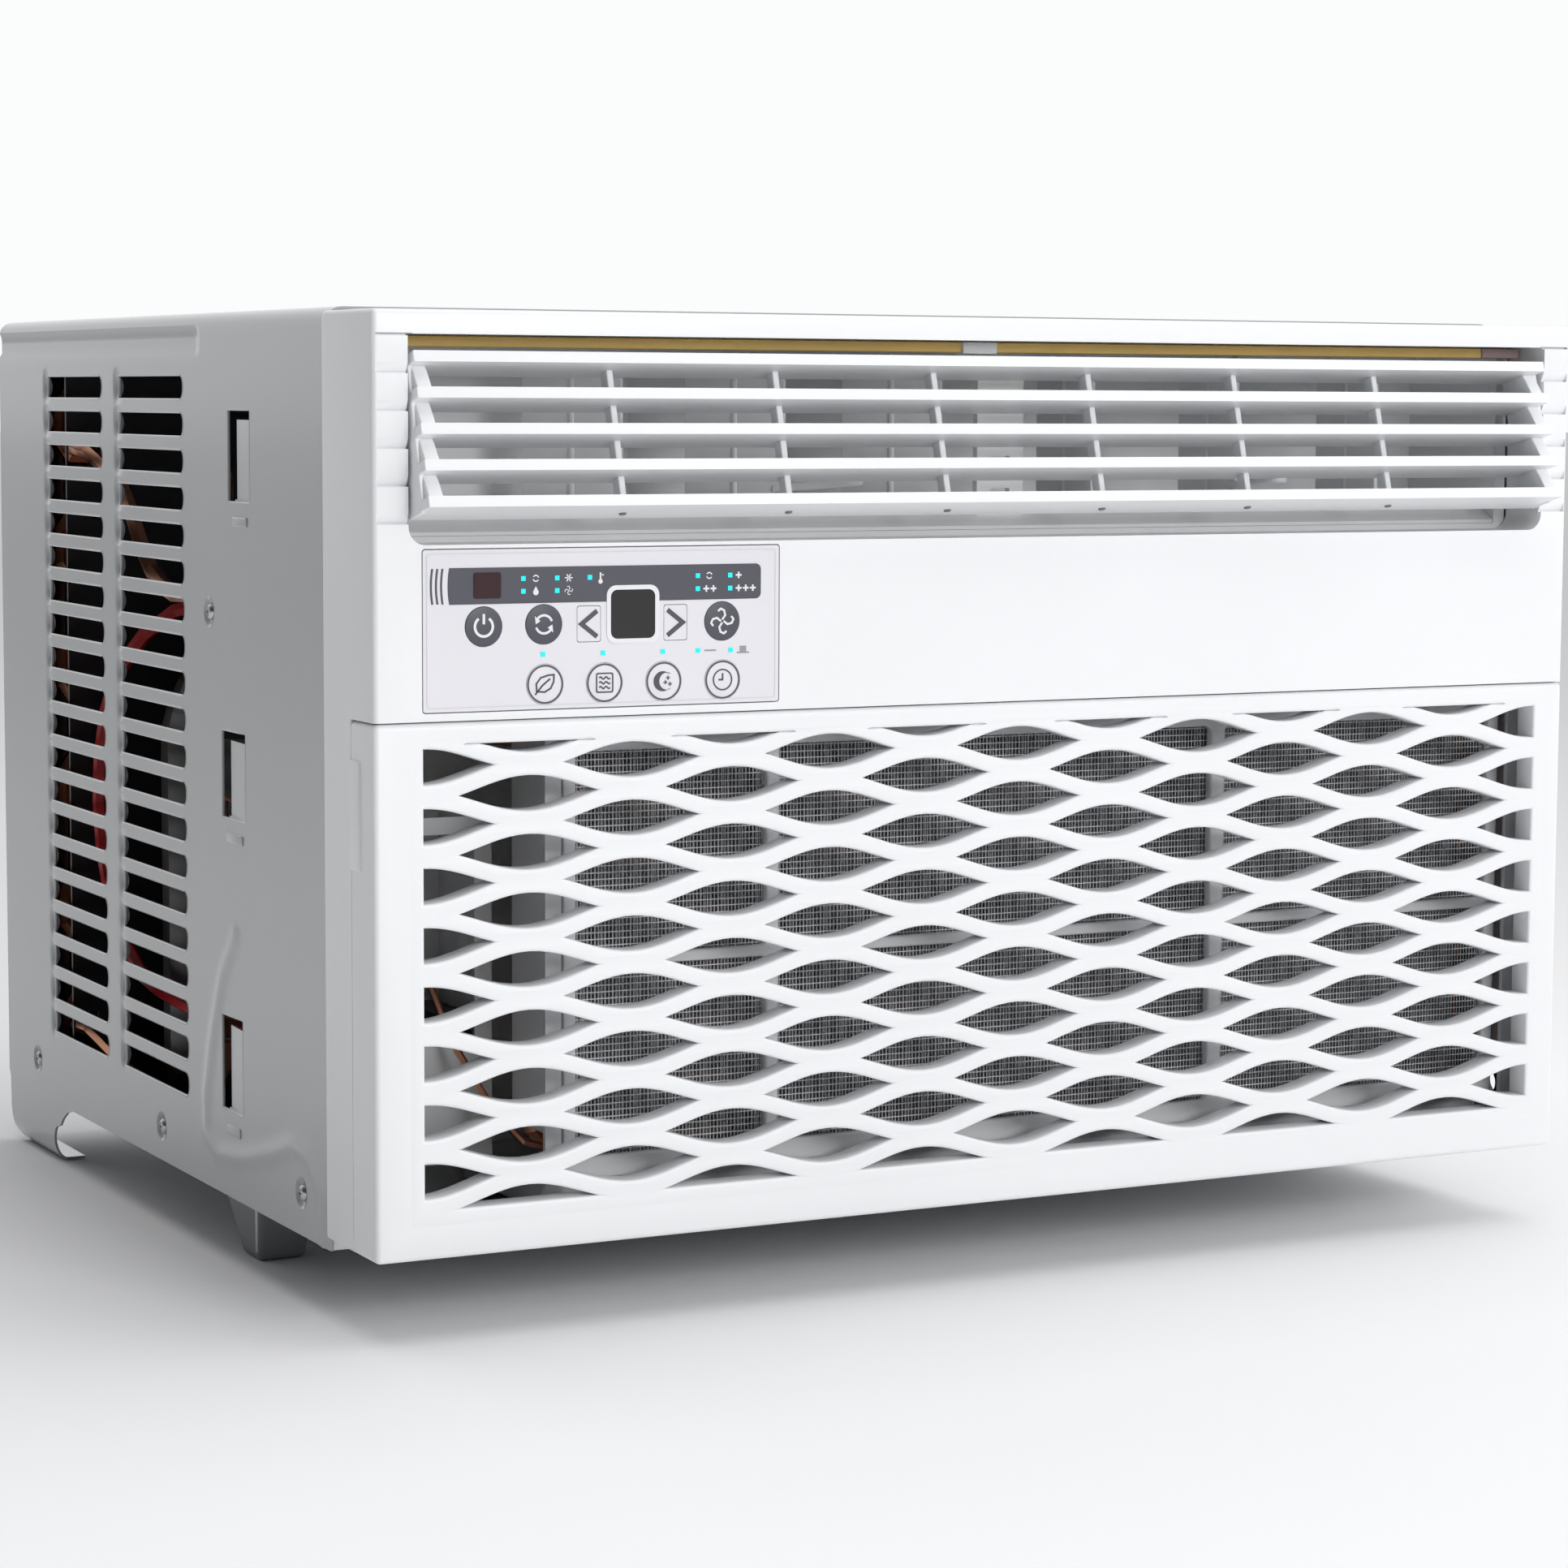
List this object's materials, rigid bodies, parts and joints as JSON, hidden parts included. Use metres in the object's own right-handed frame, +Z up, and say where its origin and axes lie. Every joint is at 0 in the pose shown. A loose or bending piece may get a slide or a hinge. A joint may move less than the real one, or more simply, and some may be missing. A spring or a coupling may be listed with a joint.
{
  "type": "window air conditioner",
  "caption": "Box-shaped window air conditioner: tilting louver frame, swinging vanes, wave-pattern intake panel with filter, touch keys, vented steel cabinet and full cooling circuit inside.",
  "frame": {"origin": "centre of the whole unit's footprint, on the surface under its feet", "axes": "+X to the right seen from the room, +Y from the room side to the outdoor side, +Z up"},
  "size_m": [0.4856, 0.443, 0.344],
  "materials": {
    "white_plastic": "satin white ABS",
    "overlay": "matt pale lilac-grey overlay film",
    "key_slate": "matt slate key faces",
    "black_gloss": "gloss black display window",
    "eye_filter": "dark maroon remote-eye filter",
    "cabinet_steel": "gloss light grey enamel on sheet steel",
    "galvanised_steel": "galvanised sheet steel",
    "dark_steel": "dark grey painted steel",
    "outlet_foam": "golden yellow sealing foam",
    "duct_plastic": "matt light grey moulded plastic",
    "black_plastic": "satin black plastic",
    "aluminium_fins": "bright aluminium fins",
    "copper": "bare copper tube",
    "compressor_black": "satin black enamel",
    "circuit_board": "green solder mask",
    "red_lead": "red insulated lead",
    "filter_mesh": "dark grey woven filter mesh"
  },
  "bodies": {
    "chassis": {"front_bezel": "white_plastic", "control_box": "white_plastic", "control_panel": "overlay", "display_window": "black_gloss", "eye_window": "eye_filter", "cabinet": "cabinet_steel", "rear_guard": "cabinet_steel", "base_pan": "galvanised_steel", "bulkhead": "galvanised_steel", "fan_motor": "galvanised_steel", "motor_bracket": "galvanised_steel", "fan_shroud": "galvanised_steel", "front_foot_left": "dark_steel", "front_foot_right": "dark_steel", "outlet_lining": "outlet_foam", "outlet_duct": "duct_plastic", "blower_scroll": "duct_plastic", "drain_tray": "duct_plastic", "cord_gland": "black_plastic", "terminal_cover": "black_plastic", "run_capacitor": "black_plastic", "terminal_block": "black_plastic", "evaporator_coil": "aluminium_fins", "condenser_coil": "aluminium_fins", "evaporator_bends": "copper", "condenser_bends": "copper", "suction_pipe": "copper", "discharge_pipe": "copper", "liquid_line": "copper", "filter_drier": "copper", "capillary_tube": "copper", "room_sensor": "copper", "compressor": "compressor_black", "accumulator": "compressor_black", "control_board": "circuit_board", "compressor_lead": "red_lead"},
    "intake_panel": {"intake_grille": "white_plastic"},
    "air_filter": {"filter_frame": "white_plastic", "filter_screen": "filter_mesh"},
    "louver": {"louver_frame": "white_plastic"},
    "left_vane_outer": {"vane_1": "white_plastic"},
    "left_vane_lever": {"vane_2": "white_plastic"},
    "left_vane_inner": {"vane_3": "white_plastic"},
    "left_vane_link": {"vane_link_left": "white_plastic"},
    "right_vane_inner": {"vane_4": "white_plastic"},
    "right_vane_lever": {"vane_5": "white_plastic"},
    "right_vane_outer": {"vane_6": "white_plastic"},
    "right_vane_link": {"vane_link_right": "white_plastic"},
    "fan_rotor": {"motor_shaft": "galvanised_steel", "blower_wheel": "black_plastic", "condenser_fan": "black_plastic"},
    "power_key": {"button_power": "key_slate"},
    "mode_key": {"button_mode": "key_slate"},
    "fan_key": {"button_fan": "key_slate"},
    "eco_key": {"button_eco": "key_slate"},
    "filter_key": {"button_filter": "key_slate"},
    "sleep_key": {"button_sleep": "key_slate"},
    "timer_key": {"button_timer": "key_slate"},
    "down_key": {"button_down": "key_slate"},
    "up_key": {"button_up": "key_slate"}
  },
  "joints": [
    {"name": "intake_panel_hinge", "type": "hinge", "parent": "chassis", "child": "intake_panel", "pos_m": [0, -0.19114, 0.0342], "axis": [1, 0, 0], "range_deg": [0, 75]},
    {"name": "filter_lift", "type": "slide", "parent": "chassis", "child": "air_filter", "axis": [0, 0, 1], "range_m": [0, 0.012]},
    {"name": "louver_tilt", "type": "hinge", "parent": "chassis", "child": "louver", "pos_m": [0, -0.19974, 0.3], "axis": [-1, 0, 0], "range_deg": [-17, 10]},
    {"name": "left_vane_swing", "type": "hinge", "parent": "chassis", "child": "left_vane_lever", "pos_m": [-0.084, -0.15254, 0.297], "axis": [0, 0, 1], "range_deg": [-78, 2]},
    {"name": "left_vane_outer_swing", "type": "hinge", "parent": "chassis", "child": "left_vane_outer", "pos_m": [-0.147, -0.15254, 0.297], "axis": [0, 0, 1], "range_deg": [-78, 2]},
    {"name": "left_vane_inner_swing", "type": "hinge", "parent": "chassis", "child": "left_vane_inner", "pos_m": [-0.0208, -0.15254, 0.297], "axis": [0, 0, 1], "range_deg": [-78, 2]},
    {"name": "left_link_pin", "type": "hinge", "parent": "left_vane_lever", "child": "left_vane_link", "pos_m": [-0.09262, -0.14151, 0.3267], "axis": [0, 0, 1], "range_deg": [-2, 78]},
    {"name": "right_vane_swing", "type": "hinge", "parent": "chassis", "child": "right_vane_lever", "pos_m": [0.1152, -0.15254, 0.297], "axis": [0, 0, 1], "range_deg": [-40, 40]},
    {"name": "right_vane_inner_swing", "type": "hinge", "parent": "chassis", "child": "right_vane_inner", "pos_m": [0.0523, -0.15254, 0.297], "axis": [0, 0, 1], "range_deg": [-40, 40]},
    {"name": "right_vane_outer_swing", "type": "hinge", "parent": "chassis", "child": "right_vane_outer", "pos_m": [0.1785, -0.15254, 0.297], "axis": [0, 0, 1], "range_deg": [-40, 40]},
    {"name": "right_link_pin", "type": "hinge", "parent": "right_vane_lever", "child": "right_vane_link", "pos_m": [0.1152, -0.13854, 0.3267], "axis": [0, 0, 1], "range_deg": [-40, 40]},
    {"name": "fan_spin", "type": "hinge", "parent": "chassis", "child": "fan_rotor", "pos_m": [0.03, 0, 0.147], "axis": [0, 1, 0], "continuous": true},
    {"name": "power_press", "type": "slide", "parent": "chassis", "child": "power_key", "axis": [0, 1, 0], "range_m": [0, 0.0008], "stiffness_N_per_m": 900},
    {"name": "mode_press", "type": "slide", "parent": "chassis", "child": "mode_key", "axis": [0, 1, 0], "range_m": [0, 0.0008], "stiffness_N_per_m": 900},
    {"name": "fan_press", "type": "slide", "parent": "chassis", "child": "fan_key", "axis": [0, 1, 0], "range_m": [0, 0.0008], "stiffness_N_per_m": 900},
    {"name": "eco_press", "type": "slide", "parent": "chassis", "child": "eco_key", "axis": [0, 1, 0], "range_m": [0, 0.0008], "stiffness_N_per_m": 900},
    {"name": "filter_press", "type": "slide", "parent": "chassis", "child": "filter_key", "axis": [0, 1, 0], "range_m": [0, 0.0008], "stiffness_N_per_m": 900},
    {"name": "sleep_press", "type": "slide", "parent": "chassis", "child": "sleep_key", "axis": [0, 1, 0], "range_m": [0, 0.0008], "stiffness_N_per_m": 900},
    {"name": "timer_press", "type": "slide", "parent": "chassis", "child": "timer_key", "axis": [0, 1, 0], "range_m": [0, 0.0008], "stiffness_N_per_m": 900},
    {"name": "down_press", "type": "slide", "parent": "chassis", "child": "down_key", "axis": [0, 1, 0], "range_m": [0, 0.0008], "stiffness_N_per_m": 900},
    {"name": "up_press", "type": "slide", "parent": "chassis", "child": "up_key", "axis": [0, 1, 0], "range_m": [0, 0.0008], "stiffness_N_per_m": 900}
  ],
  "couplings": [
    {"joint": "left_vane_outer_swing", "follows": "left_vane_swing", "ratio": 1},
    {"joint": "left_vane_inner_swing", "follows": "left_vane_swing", "ratio": 1},
    {"joint": "left_link_pin", "follows": "left_vane_swing", "ratio": -1},
    {"joint": "right_vane_inner_swing", "follows": "right_vane_swing", "ratio": 1},
    {"joint": "right_vane_outer_swing", "follows": "right_vane_swing", "ratio": 1},
    {"joint": "right_link_pin", "follows": "right_vane_swing", "ratio": -1}
  ]
}
